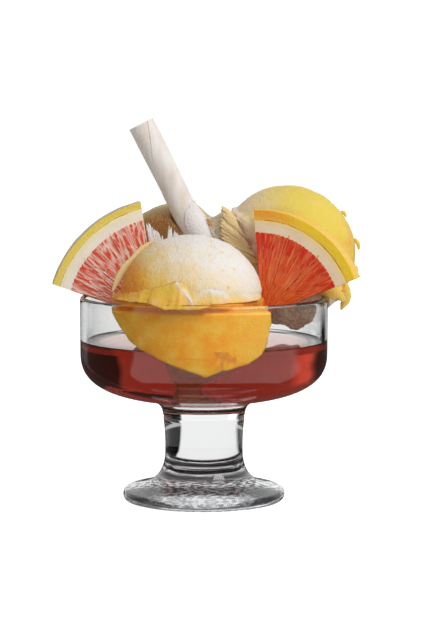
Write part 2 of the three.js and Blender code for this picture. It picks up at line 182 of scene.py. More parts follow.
def glass_outline():
    """The vessel's half section, from the middle of its underside round the rim to the bowl's floor."""
    foot_edge = np.array([FOOT_FLAT, FOOT_EDGE])
    foot_top = np.array([stem_radius(STEM_BOTTOM), STEM_BOTTOM])
    under = np.linspace([0.5, 0], [FOOT_FLAT - 0.2, 0], UNDER_RINGS)
    t = np.linspace(0, np.pi, 14)
    edge = spots(FOOT_FLAT + FOOT_BULGE * np.sin(t), FOOT_EDGE / 2 * (1 - np.cos(t)))
    sweep = bezier([foot_edge, foot_edge + [-11, 2.3], foot_top + [1.4, -9.5], foot_top], 30)
    z = np.linspace(STEM_BOTTOM, STEM_TOP, 40)
    pressed_ring = 0.3 * bell(z, STEM_TOP - 0.6, 0.5)
    stem = spots(stem_radius(z) - pressed_ring, z)
    neck_turn = np.arccos((NECK_RADIUS / RIM_RADIUS) ** (SIDE_POWER / 2))
    neck = bowl_round(RIM_RADIUS, OUTER_DROP, np.array(neck_turn))
    flare = bezier([[17.5, STEM_TOP], [17.6, STEM_TOP + 3.6], [19.6, neck[1] - 1.2], neck], 20)
    under_bowl = bowl_round(RIM_RADIUS, OUTER_DROP, np.linspace(neck_turn, 0, 40))
    rim_start = RIM_Z - WALL / 2
    wall = np.linspace([RIM_RADIUS, SHOULDER_Z], [RIM_RADIUS, rim_start], 30)
    t = np.linspace(0, np.pi, 16)
    rim = spots(INNER_RADIUS + WALL / 2 * (1 + np.cos(t)), RIM_Z - WALL / 2 * (1 - np.sin(t)))
    inside = np.linspace([INNER_RADIUS, rim_start], [INNER_RADIUS, SHOULDER_Z], 12)
    floor = bowl_round(INNER_RADIUS, INNER_DROP, np.linspace(0, FLOOR_END, 44))
    outside = [edge[1:], sweep[1:], stem[1:], flare[1:], under_bowl[1:], wall[1:]]
    return np.concatenate([under, *outside, rim[1:-1], inside, floor[1:]])


def vessel():
    """The outline turned about the axis, with fine pressed stipples raised inside the foot's underside."""
    form = turned(glass_outline(), 144)
    under = form[:UNDER_RINGS]
    away = np.hypot(under[..., 0], under[..., 1])
    stipple = 0.22 * np.abs(drift(under / 1.7, 3)) + 0.25 * np.abs(drift(under / 4, 5))
    under[..., 2] += stipple * ease(away, 2, 6) * (1 - ease(away, 29, 32))
    return form


class Shade:
    """A socket in a node tree. Arithmetic on it adds Math nodes, and node() adds any other node."""

    def __init__(self, tree, socket=None):
        self.tree = tree
        self.socket = socket

    def node(self, kind, settings=None, inputs=None, out=0):
        """A new node: its settings first, then the values or links of its sockets."""
        made = self.tree.nodes.new("ShaderNode" + kind)
        for name, value in (settings or {}).items():
            setattr(made, name, value)
        for name, value in (inputs or {}).items():
            if isinstance(value, Shade):
                self.tree.links.new(value.socket, made.inputs[name])
            else:
                made.inputs[name].default_value = value
        return Shade(self.tree, made.outputs[out] if made.outputs else None)

    def maths(self, operation, *values):
        """A Math node on these values."""
        return self.node("Math", {"operation": operation}, dict(enumerate(values)))

    def __add__(self, other):
        return self.maths("ADD", self, other)

    def __sub__(self, other):
        return self.maths("SUBTRACT", self, other)

    def __rsub__(self, other):
        return self.maths("SUBTRACT", other, self)

    def __mul__(self, other):
        return self.maths("MULTIPLY", self, other)

    __radd__ = __add__
    __rmul__ = __mul__

    def over(self, low, high):
        """0 below low, 1 above high, straight between."""
        return self.node("MapRange", {"clamp": True}, {"Value": self, "From Min": low, "From Max": high})

    def within(self, low, full, fading, high):
        """0 below low and above high, 1 from full to fading."""
        return self.over(low, full) * (1 - self.over(fading, high))

    def blend(self, first, second):
        """First colour where this is 0, second where it is 1."""
        return self.node("Mix", {"data_type": "RGBA"}, {0: self, 6: first, 7: second}, out=2)

    def axes(self):
        """The x, y and z of this place or direction."""
        return [self.node("SeparateXYZ", None, {"Vector": self}, out=axis) for axis in range(3)]

    def noise(self, scale, detail):
        """Noise at this place."""
        return self.node("TexNoise", None, {"Vector": self, "Scale": scale, "Detail": detail})

    def bump(self, strength, distance):
        """A bumped normal with this as its height."""
        return self.node("Bump", None, {"Strength": strength, "Distance": distance, "Height": self})

    def marks(self, *names):
        """The values of a mesh's own marks."""
        return [self.node("Attribute", {"attribute_name": name}, out="Fac") for name in names]

    def rays(self, *names):
        """1 on rays of each of these kinds."""
        return [self.node("LightPath", out=f"Is {name} Ray") for name in names]


def ink(red, green, blue):
    """A colour read on the 0 to 255 screen scale, as linear light."""
    screen = np.array([red, green, blue]) / 255
    linear = np.where(screen <= 0.04045, screen / 12.92, ((screen + 0.055) / 1.055) ** 2.4)
    return (*linear.tolist(), 1.0)


def finish(name):
    """A new empty material and the start of its node tree."""
    material = bpy.data.materials.new(name)
    material.use_nodes = True
    material.node_tree.nodes.clear()
    return material, Shade(material.node_tree)


def see_through(shade, colour, roughness, ior, tint):
    """A clear body that bends light for the eye and lets the lamps' shadow rays through with a tint."""
    body = shade.node("BsdfPrincipled", None, {
        "Base Color": colour, "Roughness": roughness, "IOR": ior, "Transmission Weight": 1.0,
    })
    passing = shade.node("BsdfTransparent", None, {"Color": tint})
    return shade.node("MixShader", None, {0: shade.rays("Shadow")[0], 1: body, 2: passing})


def clear_glass():
    """Clear glass with the faintest green."""
    material, shade = finish("clear_glass")
    surface = see_through(shade, (0.985, 0.995, 0.99, 1), 0.0, 1.5, (0.92, 0.94, 0.94, 1))
    shade.node("OutputMaterial", None, {"Surface": surface})
    return material


def coated(material, shade, inputs):
    """Gives a material an opaque surface with these values."""
    body = shade.node("BsdfPrincipled", None, inputs)
    shade.node("OutputMaterial", None, {"Surface": body})
    return material


def ground_glass():
    """The foot's stippled underside: black and white grain under painted reflections and shade, paler in the
    middle, in front and behind.
    """
    material, shade = finish("ground_glass")
    spot = shade.node("TexCoord", out="Object")
    x, y, _ = spot.axes()
    grain = spot.noise(420.0, 2.0).over(0.45, 0.56)
    fine = spot.noise(1100.0, 2.0).over(0.42, 0.58)
    # Painted reflections and shade, for what the solid foot shows by bending light: pale zones, dark near
    # sides.
    middle = y.within(-0.008, -0.001, 0.002, 0.012)
    front = 1 - y.over(-0.023, -0.016)
    back = y.over(0.0235, 0.026)
    off_axis = shade.maths("ABSOLUTE", x)
    painted_pale_sides = off_axis.over(0.018, 0.024) * y.over(-0.003, 0.005)
    painted_dark_sides = off_axis.over(0.015, 0.023) * (1 - y.over(-0.006, 0.002)) * (1 - 0.4 * front)
    painted_light = 0.13 + 0.4 * middle + 0.55 * front + 0.6 * back - 0.1 * y.over(0.012, 0.016) + 0.7 * painted_pale_sides
    speck = 0.1 + grain + 0.8 * grain * fine
    level = painted_light * (1 - 0.85 * painted_dark_sides) * (speck + 0.6 * front * (1 - speck))
    colour = level.over(0, 1).blend(ink(14, 17, 20), ink(240, 244, 247))
    # The emission is a painted glow: the foot shows this colour whatever the lamps do.
    return coated(material, shade, {
        "Base Color": colour, "Roughness": 0.45, "Emission Color": colour, "Emission Strength": 0.4,
    })


glass = skin("glass_vessel", "glass", clear_glass(), vessel())
glass.data.materials.append(ground_glass())
centres = np.zeros(3 * len(glass.data.polygons))
glass.data.polygons.foreach_get("center", centres)
glass.data.polygons.foreach_set("material_index", (centres[2::3] < 0.001 * STIPPLE_TOP).astype(np.int32))
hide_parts("bowl", "stem", "foot")


# The syrup: a dark red-brown liquid that fills the lower bowl to a level and climbs a little at the wall.
# It wets the glass, so its skin lies a hair inside the glass's own and leaves no film of air.
SYRUP_Z = 67.5
SYRUP_CLIMB = 0.9
WETTING = 0.04


def syrup_outline():
    """The bowl's inside a hair larger, up to the level, then inwards from an edge that climbs."""
    radius = INNER_RADIUS + WETTING
    lower = bowl_round(radius, INNER_DROP + WETTING, np.linspace(FLOOR_END, 0, 44))
    side = np.linspace([radius, SHOULDER_Z], [radius, SYRUP_Z + SYRUP_CLIMB], 8)
    out = radius * (1 - np.linspace(0, 0.99, 40) ** 2)
    top = spots(out, SYRUP_Z + SYRUP_CLIMB * np.exp(-(radius - out) / 1.2))
    return np.concatenate([lower, side[1:], top[1:]])


def red_syrup():
    """Liquid whose body soaks up green and blue light, with a painted red glow for the light it scatters, so
    it is never quite black.
    """
    material, shade = finish("red_syrup")
    surface = see_through(shade, (1, 1, 1, 1), 0.02, 1.36, (0.75, 0.35, 0.22, 1))
    soak = shade.node("VolumeAbsorption", None, {"Color": (0.8, 0.42, 0.32, 1), "Density": 80.0})
    # A painted glow in the syrup's body stands for the light scattered in it.
    painted_glow = shade.node("Emission", None, {"Color": (1, 0.42, 0.28, 1), "Strength": 0.5})
    soak_and_glow = shade.node("AddShader", None, {0: soak, 1: painted_glow})
    shade.node("OutputMaterial", None, {"Surface": surface, "Volume": soak_and_glow})
    return material


syrup = skin("syrup_pool", "glass", red_syrup(), turned(syrup_outline(), 128))
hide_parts("syrup")


# The front scoop: a ball of yellow ice cream pressed from a round scoop, with a ragged skirt at its edge.
# Its lower half has slumped against the front of the glass and sits in the syrup.
FRONT = {
    "middle": np.array([-5.3, -20.0, 83.8]), "radius": 29.8, "belly": 32.3, "depth": 29.0, "rise": 3.4,
    "lean": 0, "toward": 0,
}
LEFT = {
    "middle": np.array([-10.3, 33.0, 95.9]), "radius": 29.1, "belly": 30.0, "depth": 32.0, "rise": 0,
    "lean": 28, "toward": 105,
}
RIGHT = {
    "middle": np.array([36.3, 25.0, 102.9]), "radius": 29.6, "belly": 30.6, "depth": 31.0, "rise": 0,
    "lean": 36, "toward": 0,
}
SLUMP_TOWARD = np.radians(264)
# The pale frosting lies up and towards the lamp at the right, so in part it is a painted highlight.
FROST_AND_LIGHT_WAY = np.array([0.5, -0.05, 0.86])
GAP = 0.3
FAR = 999.0
SCOOP_ROWS = 210
SCOOP_COLUMNS = 330
SCOOP_MARKS = ("frost_and_light", "pressed", "painted_hollow_shade", "painted_side_shade")


def with_marks(place, *marks):
    """Points with their marks as further channels, each a number or an array over the points."""
    return np.concatenate([place, spots(*marks, place[..., 0])[..., :-1]], axis=-1)


def rough(points, seed, octaves=3):
    """Drift summed over finer and finer lattices, each half as strong."""
    return sum(drift(points * 2 ** step, seed + step) / 2 ** step for step in range(octaves))


def speckle(points, seed):
    """Distance to the nearest of one scattered point per lattice cell, and that point's own number."""
    cell = np.floor(points).astype(np.int64)
    best = np.full(points.shape[:-1], 9.0)
    own = np.zeros(points.shape[:-1])
    for step in np.ndindex(3, 3, 3):
        near = cell + np.array(step) - 1
        spot = near + np.stack([scatter(near, seed + axis) for axis in range(3)], axis=-1)
        away = np.linalg.norm(points - spot, axis=-1)
        own = np.where(away < best, scatter(near, seed + 5), own)
        best = np.minimum(best, away)
    return best, own


def soft_min(first, second, blend):
    """The smaller of two lengths, rounded where they are nearly equal."""
    t = np.clip(0.5 + 0.5 * (second - first) / blend, 0, 1)
    return second + (first - second) * t - blend * t * (1 - t)


def globe(rows, columns):
    """Unit directions: rows go from near the upper pole to near the lower one, columns go round."""
    down = np.linspace(0, np.pi, rows + 2)[1:-1, None]
    turn = np.linspace(0, 2 * np.pi, columns, endpoint=False)
    return polar(np.sin(down), turn, np.cos(down))


def scoop_rays(scoop):
    """Unit directions from a scoop's middle, about its own pole, and as they lie once the ball leans."""
    own = globe(SCOOP_ROWS, SCOOP_COLUMNS)
    toward = np.radians(scoop["toward"])
    lean = np.radians(scoop["lean"])
    x, y = -np.sin(toward), np.cos(toward)
    across = np.array([[0, 0, y], [0, 0, -x], [-y, x, 0]])
    tilt = np.eye(3) + np.sin(lean) * across + (1 - np.cos(lean)) * across @ across
    return own, own @ tilt.T


def ball(scoop, own):
    """Reach of the plain form: a sphere above the scoop's edge and an oval belly below it."""
    level = np.hypot(own[..., 0], own[..., 1])
    rise = scoop["rise"]
    tall = scoop["depth"] + rise
    a = (level / scoop["belly"]) ** 2 + (own[..., 2] / tall) ** 2
    b = own[..., 2] * rise / tall ** 2
    belly = (b + np.sqrt(b ** 2 + a * (1 - (rise / tall) ** 2))) / a
    return np.where(own[..., 2] * scoop["radius"] > rise, scoop["radius"], belly)


def plane_reach(way, out, distance):
    """Reach to an upright plane at that distance from the scoop's middle, facing the level direction out."""
    facing = way[..., 0] * out[0] + way[..., 1] * out[1]
    return np.where(facing > 0.01, distance / np.maximum(facing, 0.01), FAR)


def between(scoop, other):
    """The upright plane where two balls meet, half a gap on this scoop's side: its direction and distance."""
    away = other["middle"][:2] - scoop["middle"][:2]
    span = np.hypot(*away)
    distance = (span ** 2 + scoop["radius"] ** 2 - other["radius"] ** 2) / (2 * span)
    return away / span, distance - GAP / 2


def glass_reach(scoop, way):
    """Reach to the inside of the bowl, found by stepping to the radius at each height; free above the rim."""
    x, y, z = np.moveaxis(way, -1, 0)
    middle = scoop["middle"]
    level = np.maximum(np.hypot(x, y), 1e-6)
    inward = x * middle[0] + y * middle[1]
    start = middle[0] ** 2 + middle[1] ** 2

    def to_radius(radius):
        inside = inward ** 2 - level ** 2 * (start - radius ** 2)
        return (-inward + np.sqrt(np.maximum(inside, 0))) / level ** 2

    reach = to_radius(INNER_RADIUS - GAP)
    for _ in range(8):
        below = np.clip((SHOULDER_Z - (middle[2] + reach * z)) / INNER_DROP, 0, 0.999)
        reach = to_radius(INNER_RADIUS * (1 - below ** FLOOR_POWER) ** (1 / SIDE_POWER) - GAP)
    top = RIM_Z + GAP
    at_outside = middle[2] + to_radius(RIM_RADIUS + GAP) * z
    onto_rim = (top - middle[2]) / np.minimum(z, -1e-6)
    over = np.where(at_outside < top, onto_rim, FAR)
    return np.where(middle[2] + reach * z < top, reach, over)


def ice_cream(name, pale, yellow, amber, deep):
    """Frosted ice cream: yellow, pale where dry and as painted light, amber where pressed smooth, deep as
    painted shade in hollows.
    """
    material, shade = finish(name)
    frost_and_light, pressed, painted_hollow_shade, painted_side_shade = shade.marks(*SCOOP_MARKS)
    spot = shade.node("TexCoord", out="Object")
    grains = spot.noise(1300.0, 3.0)
    patches = spot.noise(160.0, 4.0)
    crystals = grains.over(0.42, 0.62)
    half_pale = 0.5 * frost_and_light * (1 - frost_and_light)
    # The pale share: frosting, with painted light where the mark was laid towards the lamp.
    dry = frost_and_light + half_pale * (2 * crystals - 1) + 0.3 * (patches - 0.5)
    colour = dry.over(0, 1).blend(yellow, pale)
    # Painted shade: the deep colour on shaded sides, speckled by the crystals.
    colour = (painted_side_shade * (0.6 + 0.7 * crystals)).over(0.1, 1.0).blend(colour, deep)
    mottled = (patches + 0.45 * (grains - 0.5)).over(0.3, 0.56).blend(yellow, amber)
    mottled = (patches + 0.3 * (grains - 0.5)).over(0.54, 1.0).blend(mottled, deep)
    colour = pressed.blend(colour, mottled)
    # Painted shade: the deep colour in hollows, creases and under edges.
    colour = (painted_hollow_shade * (0.75 + 0.4 * patches)).over(0.05, 1.0).blend(colour, deep)
    smooth = pressed.over(0, 1)
    return coated(material, shade, {
        "Base Color": colour, "Roughness": 0.62 - 0.2 * smooth, "Specular IOR Level": 0.25,
        "Normal": (crystals * (1 - 0.85 * smooth)).bump(0.35, 0.0006),
        "Subsurface Weight": 0.12, "Subsurface Radius": (0.004, 0.0025, 0.001), "Subsurface Scale": 1.0,
    })


def ribbon(route, face, wide, thick, marks, full=0.5, seed=7):
    """A strand: an oval section carried along a curve, broad across the way it faces, torn a little.

    It widens from nothing to its full width at the share full of its length, and narrows to nothing again.
    """
    path = bezier(route, 30)
    along = np.gradient(path, axis=0)
    across = np.cross(along, face)
    across = across / np.linalg.norm(across, axis=-1, keepdims=True)
    out = np.cross(across, along)
    out = out / np.linalg.norm(out, axis=-1, keepdims=True)
    s = np.linspace(0, 1, 30)[:, None]
    share = np.where(s < full, s / full, (1 - s) / (1 - full))
    swell = np.clip(np.sin(share * np.pi / 2), 0.002, 1) ** 0.6
    loop = np.linspace(0, 2 * np.pi, 16, endpoint=False)
    torn_at = spots(path[:, None, 0] / wide + np.cos(loop), path[:, None, 2] / wide, np.sin(loop))
    half = swell * wide * (1 + 0.35 * rough(torn_at, seed)) * np.cos(loop)
    place = path[:, None] + across[:, None] * half[..., None]
    place = place + out[:, None] * (swell * thick * np.sin(loop))[..., None]
    return with_marks(place, *marks)


def fan(first, last, count, face, wide, thick, marks, full, seed):
    """Strands side by side: routes blended from first to last, each shifted a little and of its own width."""
    strands = []
    for index in range(count):
        share = index / (count - 1)
        route = (1 - share) * np.array(first) + share * np.array(last)
        own = scatter(spots(index, *np.indices(route.shape)), seed)
        route = route + 1.2 * (own - 0.5)
        strands.append(ribbon(route, face, wide * (0.6 + 0.8 * own[0, 0]), thick, marks, full, seed + index))
    return strands


def meet(start, angle, radius):
    """How far a level line from start at that angle runs to a circle of that radius about 0, 0."""
    along = start[0] * np.cos(angle) + start[1] * np.sin(angle)
    return -along + np.sqrt(np.maximum(along ** 2 + radius ** 2 - start[0] ** 2 - start[1] ** 2, 0))


def patch_edge(x):
    """Lower edge of the ice cream on the glass: a blunt V whose arms turn up at both sides."""
    away = np.abs(x - 0.5)
    left = 0.36 * away + 4.8 * np.minimum(away / 32, 1.3) ** 6
    right = 0.29 * away + 9 * np.minimum(away / 25.4, 1.15) ** 14
    return 57.9 + np.where(x < 0.5, left, right)


def front_scoop():
    """A ball with pits on its dome and a front that has slumped out to the glass below the rim."""
    own, way = scoop_rays(FRONT)
    x, y, z = np.moveaxis(way, -1, 0)
    plain = ball(FRONT, own)
    place = way * plain[..., None]
    height = place[..., 2]
    dome = ease(height, 3, 7)
    facing = (x * np.cos(SLUMP_TOWARD) + y * np.sin(SLUMP_TOWARD)) / np.hypot(x, y)
    wall = glass_reach(FRONT, way)
    contact = FRONT["middle"] + way * wall[..., None]
    front = ease(facing, 0.1, 0.4) * (1 - ease(height, -0.5, 2.6))
    above_edge = contact[..., 2] - patch_edge(contact[..., 0])
    slump = ease(above_edge + 0.5 * rough(place / 5, 34), -3.0, 1.0)
    held_back = plain + front * (np.minimum(plain - 2, wall - 14) - plain)
    held_back = held_back - 4.5 * ease(-x, 0.45, 0.85) * ease(-height, 3, 13)
    held_back = held_back - 8 * ease(-x, 0.1, 0.5) * ease(-height, 14, 20)
    near, own_number = speckle(place / 4.2, 21)
    pit = ease(0.34 - near, 0, 0.2) * (own_number > 0.55) * ease(x, 0.1, 0.4)
    reach = held_back + front * slump * (wall + 0.8 - held_back)
    reach += dome * (0.9 * (2 * x * z) ** 2 + 0.3 * rough(place / 11, 31))
    reach += dome * (0.14 * rough(place / 1.5, 33) - 0.55 * pit)
    reach += (1 - dome) * (0.35 * rough(place / 9, 35) + 0.12 * rough(place / 2, 36))
    reach -= 2.3 * (1 - dome) * (1 - front) * ease(x, 0.45, 0.8) * ease(height, -2.5, 0.5)
    for out, distance in (between(FRONT, LEFT), between(FRONT, RIGHT)):
        reach = soft_min(reach, plane_reach(way, out, distance - 0.3), 1.2)
    touching = ease(reach - wall, -1.0, 1.0)
    reach = soft_min(reach, wall + GAP + 0.15 * touching, 0.6)
    # Pale frosting towards the upper right where the lamp falls: in part a painted highlight.
    up = way @ FROST_AND_LIGHT_WAY + 0.12 * rough(place / 6, 41)
    frost_and_light = np.clip(ease(up, -0.05, 0.95) * dome - 0.7 * pit, 0, 1)
    pressed = (1 - dome) * (1 - 0.4 * ease(x, 0.3, 0.7))
    # Painted shade: the deep colour under the frill and in creases where the belly lies on the glass.
    under_frill = bell(height, 2.2, 2.2) * (0.8 + 0.4 * drift(place / 8, 44))
    folds = rough(place * np.array([0.05, 0.05, 0.16]), 37, 2)
    crease = bell(folds, 0, 0.06) * touching * ease(-height, 2, 14)
    painted_hollow_shade = np.clip(0.75 * under_frill + 0.4 * crease, 0, 1)
    # Painted shade on the dome's left, away from the lamp, and on the belly's left.
    shaded = ease(-x - 0.25 * y, 0.62, 0.95) * dome
    left_belly = ease(-x, 0.7, 0.95) * pressed
    painted_side_shade = np.clip(0.85 * shaded + 0.55 * left_belly, 0, 1)
    return with_marks(FRONT["middle"] + way * reach[..., None], frost_and_light, 0.9 * pressed, painted_hollow_shade, painted_side_shade)


def front_frill():
    """A torn frill round the front of the ball, pressed out by the scoop's edge.

    A thin sheet runs from its upper edge on the dome outwards and down; in the middle it hangs over the rim.
    """
    start, end = 163, 352
    degrees = np.linspace(start, end, 260)[:, None]
    turn = np.radians(degrees)
    loop = np.linspace(0, 2, 64, endpoint=False)
    down = np.where(loop < 1, loop, 2 - loop)
    outside = ease(1.04 - loop, 0, 0.12) + ease(loop, 1.9, 2)
    lit = np.clip(outside, 0, 1)
    tear = rough(polar(6, turn, 0), 11)
    fine = rough(polar(22, turn, 0), 12)
    ends = ease(degrees, start, 180) * (1 - ease(degrees, 325, end))
    top = np.interp(degrees, [start, 210, 238, 258, 264, 285, end], [6.5, 7.2, 9.7, 13, 12, 10.6, 6])
    top = top + 0.5 * tear + 0.2 * fine
    foot = np.interp(degrees, [start, 215, 240, 252, 276, 286, end], [4.2, 4, 3.9, 1.7, 1.9, 3.8, 4.2])
    foot = foot + 0.25 * tear
    height = top + (foot - top) * down
    dome = np.sqrt(FRONT["radius"] ** 2 - height ** 2)
    flat = polar(dome, turn, height)
    lumps = rough(flat / 4.5, 17)
    strand = bell(degrees, 259.3 + 1.2 * (13.2 - height) - 3 * tear, 1.5) * ease(height, 2.5, 4)
    arc = 5.6 + 3.8 * np.sin(np.radians(6.2 * np.clip(degrees - 274, 0, 29)))
    smear = bell(height, arc - tear, 1.6) * ease(degrees, 272, 280) * (1 - ease(degrees, 296, 305))
    crest = np.clip((strand + 0.5 * smear) * (0.75 + 0.5 * rough(flat / 2, 18)), 0, 1)
    merged = ease(degrees, 262, 270)
    lip = 0.9 * ease(down, 0, 0.1) * (1 - merged) - 0.3 * merged * (1 - ease(down, 0, 0.3))
    skirt = 2.4 * down ** 1.4 + (0.4 * tear + 0.5 * lumps + 0.2 * fine) * down
    proud = ends * (lip + skirt) + 0.55 * crest
    thick = 0.5 + 1.3 * np.sin(np.pi * down ** 0.8)
    middle = FRONT["middle"]
    rim = meet(middle, turn, RIM_RADIUS + GAP)
    hangs = ease(RIM_Z + GAP - middle[2] - height, -0.5, 0.1)
    inner = dome + proud - thick
    inner = inner + hangs * np.maximum(rim + 0.1 - inner, 0)
    outer = np.maximum(dome + proud, inner + 0.5)
    radius = inner + (outer - inner) * lit
    radius = radius + 0.16 * rough(polar(radius, turn, height) / 2.2, 15) * (outside > 0.5)
    # Pale frosting towards the lamp as on the dome: in part a painted highlight.
    up = flat @ FROST_AND_LIGHT_WAY / FRONT["radius"] + 0.12 * rough(flat / 6, 41)
    as_dome = ease(up, -0.05, 0.95) * (0.4 + 0.6 * merged) * (1 - 0.5 * down)
    frost_and_light = lit * np.clip(as_dome + 0.2 * ease(lumps, 0.1, 0.7) + 0.9 * crest, 0, 1)
    pressed = lit * (0.25 * (1 - merged) + 0.3 * ease(down, 0.4, 1)) * (1 - crest)
    # Painted shade: the sheet's inner side takes the deep colour, its outer side a little, more on its left
    # part.
    painted_side_shade = lit * (0.15 + 0.6 * (1 - ease(degrees, 205, 238)))
    return with_marks(middle + polar(radius, turn, height), frost_and_light, pressed, 0.95 * (1 - lit), painted_side_shade)


def front_flange():
    """The thin flange that stands up the ball's left side."""
    route = [(-37.6, -23, 90.2), (-34.5, -18, 99), (-28.6, -14, 106), (-19.5, -12, 112.2)]
    # Its marks give some pale, and a touch of painted side shade.
    return ribbon(route, (0, -1, 0), 1.5, 0.7, (0.35, 0, 0, 0.1), full=0.25, seed=8)


# The last colour serves as painted shade, and in mottles where pressed.
front = skin("front_scoop_ball", "front_scoop", ice_cream(
    "ice_cream_front", ink(236, 231, 224), ink(240, 196, 80), ink(240, 170, 40), ink(238, 120, 30),
), front_scoop(), front_frill(), front_flange(), marks=SCOOP_MARKS)
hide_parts("front_scoop")


# The right scoop: a second ball that leans right and hangs over the rim, with its torn edge to the viewer.
# Its dome is smooth and bright yellow; the side below the edge is dry, pinkish and frosted.
def right_scoop():
    """A leaning ball: smooth dome, torn collar with hanging petals, rough belly, cut back at the rim."""
    own, way = scoop_rays(RIGHT)
    x, y, z = np.moveaxis(way, -1, 0)
    plain = ball(RIGHT, own)
    place = way * plain[..., None]
    height = own[..., 2] * plain
    turn = np.arctan2(own[..., 1], own[..., 0])
    tear = rough(polar(7, turn, 0), 51)
    petal = bell((np.degrees(turn) - 160) % 360, 180, 26)
    collar = bell(height, 0.5 + 0.8 * tear, 1.6)
    belly = 1 - ease(height, -3, 0)
    reach = plain + collar * (1.6 + 1.3 * tear + 2.5 * petal)
    reach += (1 - belly) * (0.3 * rough(place / 12, 61) + 0.1 * rough(place / 1.6, 62))
    reach += belly * (0.9 * rough(place / 6, 63) + 0.3 * rough(place / 1.4, 64) - 0.8)
    for out, distance in (between(RIGHT, FRONT), between(RIGHT, LEFT)):
        reach = soft_min(reach, plane_reach(way, out, distance), 2.0)
    behind_wedge = plane_reach(way, (-0.309, -0.951), 24.4 + 0.7 * rough(place / 5, 67))
    reach = soft_min(reach, behind_wedge, 7.0)
    reach = soft_min(reach, glass_reach(RIGHT, way), 0.6)
    point = RIGHT["middle"] + way * reach[..., None]
    lit = way @ np.array([0.75, -0.35, 0.55])
    frost_and_light = 0.85 * (1 - ease(lit + 0.1 * rough(place / 8, 66), -0.2, 0.8)) + 0.25 * belly
    # Painted shade: the deep colour under the collar on the right, on the right of the belly, and in the
    # pocket by the wedge, where it is also a painted reflection of the red flesh.
    right_side = ease(point[..., 0], 24, 34)
    shaded_pocket = bell(point[..., 0], 19.5, 2.6) * bell(point[..., 2], 109, 2.4) * (y < 0)
    painted_hollow_shade = 0.5 * bell(height, -3.2, 1.2) * right_side + 0.9 * shaded_pocket
    pressed = 0.8 * ease(x - 0.3 * z, 0.45, 0.95) * (1 - belly) + 0.25 * belly * (1 - right_side)
    painted_side_shade = 0.8 * belly * (1 - petal) * right_side
    return with_marks(point, frost_and_light, pressed, painted_hollow_shade, painted_side_shade)


def right_sag():
    """The torn lower side of the right ball, sagging into the bowl behind the wedge: a lumpy oval."""
    way = globe(60, 90)
    lumps = 1 + 0.12 * rough(way * 3, 68) + 0.04 * rough(way * 11, 69)
    place = np.array([38.5, 13.5, 81.5]) + way * np.array([13.0, 6.5, 9.5]) * lumps[..., None]
    # The last mark lays painted shade on this side, which sits behind the wedge.
    return with_marks(place, 0.7 + 0.4 * rough(way * 8, 70), 0, 0, 0.6)


def right_strands():
    """Torn edges of the right ball: a curled petal past the rim, bits at its side, folds at its left."""
    yellow, pale, orange = (0.1, 0.3, 0, 0), (0.6, 0.2, 0, 0), (0, 0.9, 0, 0)
    viewer = np.array([0.2, -1, 0.3])
    strands = [
        ribbon([(47.8, -1, 88.6), (54, -2.5, 89.6), (60.5, 0, 84.4)], viewer, 2.2, 1.0, yellow, 0.75, 23),
        ribbon([(60.2, 1, 92), (61.6, 0, 87), (58.2, 1, 80.4)], viewer, 2.0, 1.0, yellow, 0.45, 24),
        ribbon([(59.4, 24, 121.4), (61.4, 24, 121), (61.6, 24, 118.6)], viewer, 0.8, 0.7, yellow, seed=25),
        ribbon([(64.6, 24, 109.5), (67.6, 23, 108.4), (67.2, 23, 104.4)], viewer, 0.9, 0.7, yellow, 0.5, 26),
        ribbon([(63, 20, 99), (66.5, 18, 98), (66, 18, 93.5)], viewer, 1.0, 0.8, yellow, seed=27),
        *fan([(6.9, 7, 124.6), (11.5, 6.8, 119.6), (16, 6.4, 113.6)],
             [(6.9, 6, 106), (13, 4.6, 105), (24, 2, 100.2)], 12, viewer, 1.0, 0.6, pale, 0.4, 28),
        *fan([(10.8, 9, 118), (13, 7, 113.6), (17.6, 5.6, 108.6)],
             [(11, 7.2, 107), (16, 5, 103), (25, 2.2, 98.6)], 6, viewer, 0.9, 0.6, orange, 0.4, 41),
    ]
    for strand in strands:
        strand[..., 0] = np.maximum(strand[..., 0], 6.5)
        strand[..., 1] = np.where(strand[..., 0] < 10, np.minimum(strand[..., 1], 7.6), strand[..., 1])
    return strands


# The last colour serves as painted shade, and in mottles where pressed.
right = skin("right_scoop_ball", "right_scoop", ice_cream(
    "ice_cream_right", ink(240, 218, 200), ink(232, 206, 88), ink(240, 172, 60), ink(184, 106, 82),
), right_scoop(), right_sag(), *right_strands(), marks=SCOOP_MARKS, sharp=60)
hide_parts("right_scoop")


# The left scoop: a third ball behind the others, leaning back, that holds the wafer in a socket at its front.
# Its cap is olive-yellow where the light catches it; the face below is in shade, with pale torn strands.
WAFER_RADIUS = 6.1
WAFER_LEAN = np.radians(26.6)
WAFER_FOOT = np.array([2.0, 16.18, 100.9])
WAFER_WAY = np.array([-np.sin(WAFER_LEAN), 0, np.cos(WAFER_LEAN)])
WAFER_SIDE = np.array([np.cos(WAFER_LEAN), 0, np.sin(WAFER_LEAN)])


def on_wafer(radius, turn, length):
    """Points at a radius from the wafer's leaning axis, at an angle round it and so far along it."""
    return WAFER_FOOT + polar(radius, turn, length) @ np.array([WAFER_SIDE, (0, 1, 0), WAFER_WAY])


def socket_reach(scoop, way):
    """Reach to the wafer's round socket: where a ray first comes within its radius of the axis."""
    start = scoop["middle"] - WAFER_FOOT
    start_level = start - (start @ WAFER_WAY) * WAFER_WAY
    way_level = way - (way @ WAFER_WAY)[..., None] * WAFER_WAY
    a = np.sum(way_level ** 2, axis=-1)
    b = way_level @ start_level
    c = start_level @ start_level - (WAFER_RADIUS + GAP) ** 2
    inside = b ** 2 - a * c
    hit = (-b - np.sqrt(np.maximum(inside, 0))) / np.maximum(a, 1e-6)
    along = start @ WAFER_WAY + hit * (way @ WAFER_WAY)
    return np.where((inside > 0) & (hit > 0) & (along > -GAP), hit, FAR)


